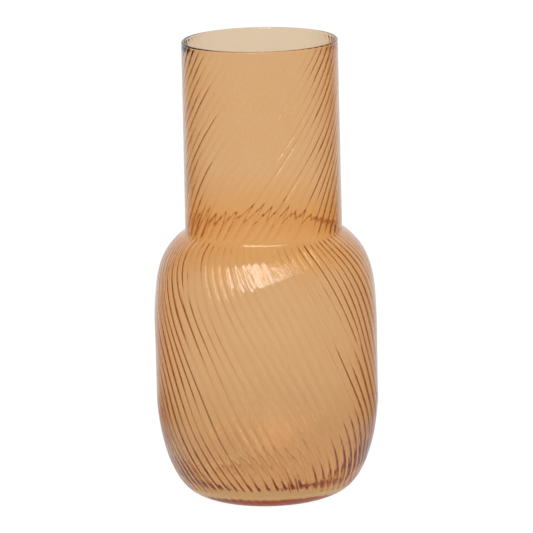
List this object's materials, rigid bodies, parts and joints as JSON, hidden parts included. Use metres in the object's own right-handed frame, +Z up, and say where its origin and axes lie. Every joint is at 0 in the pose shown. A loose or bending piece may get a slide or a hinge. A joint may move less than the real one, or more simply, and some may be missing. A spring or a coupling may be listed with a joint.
{
  "type": "ribbed glass vase",
  "caption": "Free-standing vase of amber-pink blown glass: a rounded, twist-ribbed body under a straight, counter-twisted cylinder neck with an open mouth.",
  "frame": {"origin": "on the table, under the centre of the base", "axes": "+Z up along the vase's axis, +Y away from the viewer, +X to the viewer's right"},
  "size_m": [0.1218, 0.1218, 0.25],
  "materials": {
    "peach_glass": "clear peach-amber glass, fire polished, tinted through its thickness"
  },
  "bodies": {
    "root": {"base_disc": "peach_glass", "heel_wall": "peach_glass", "belly_wall": "peach_glass", "shoulder_wall": "peach_glass", "seam_collar": "peach_glass", "neck_wall": "peach_glass", "lip_bead": "peach_glass"}
  },
  "joints": []
}
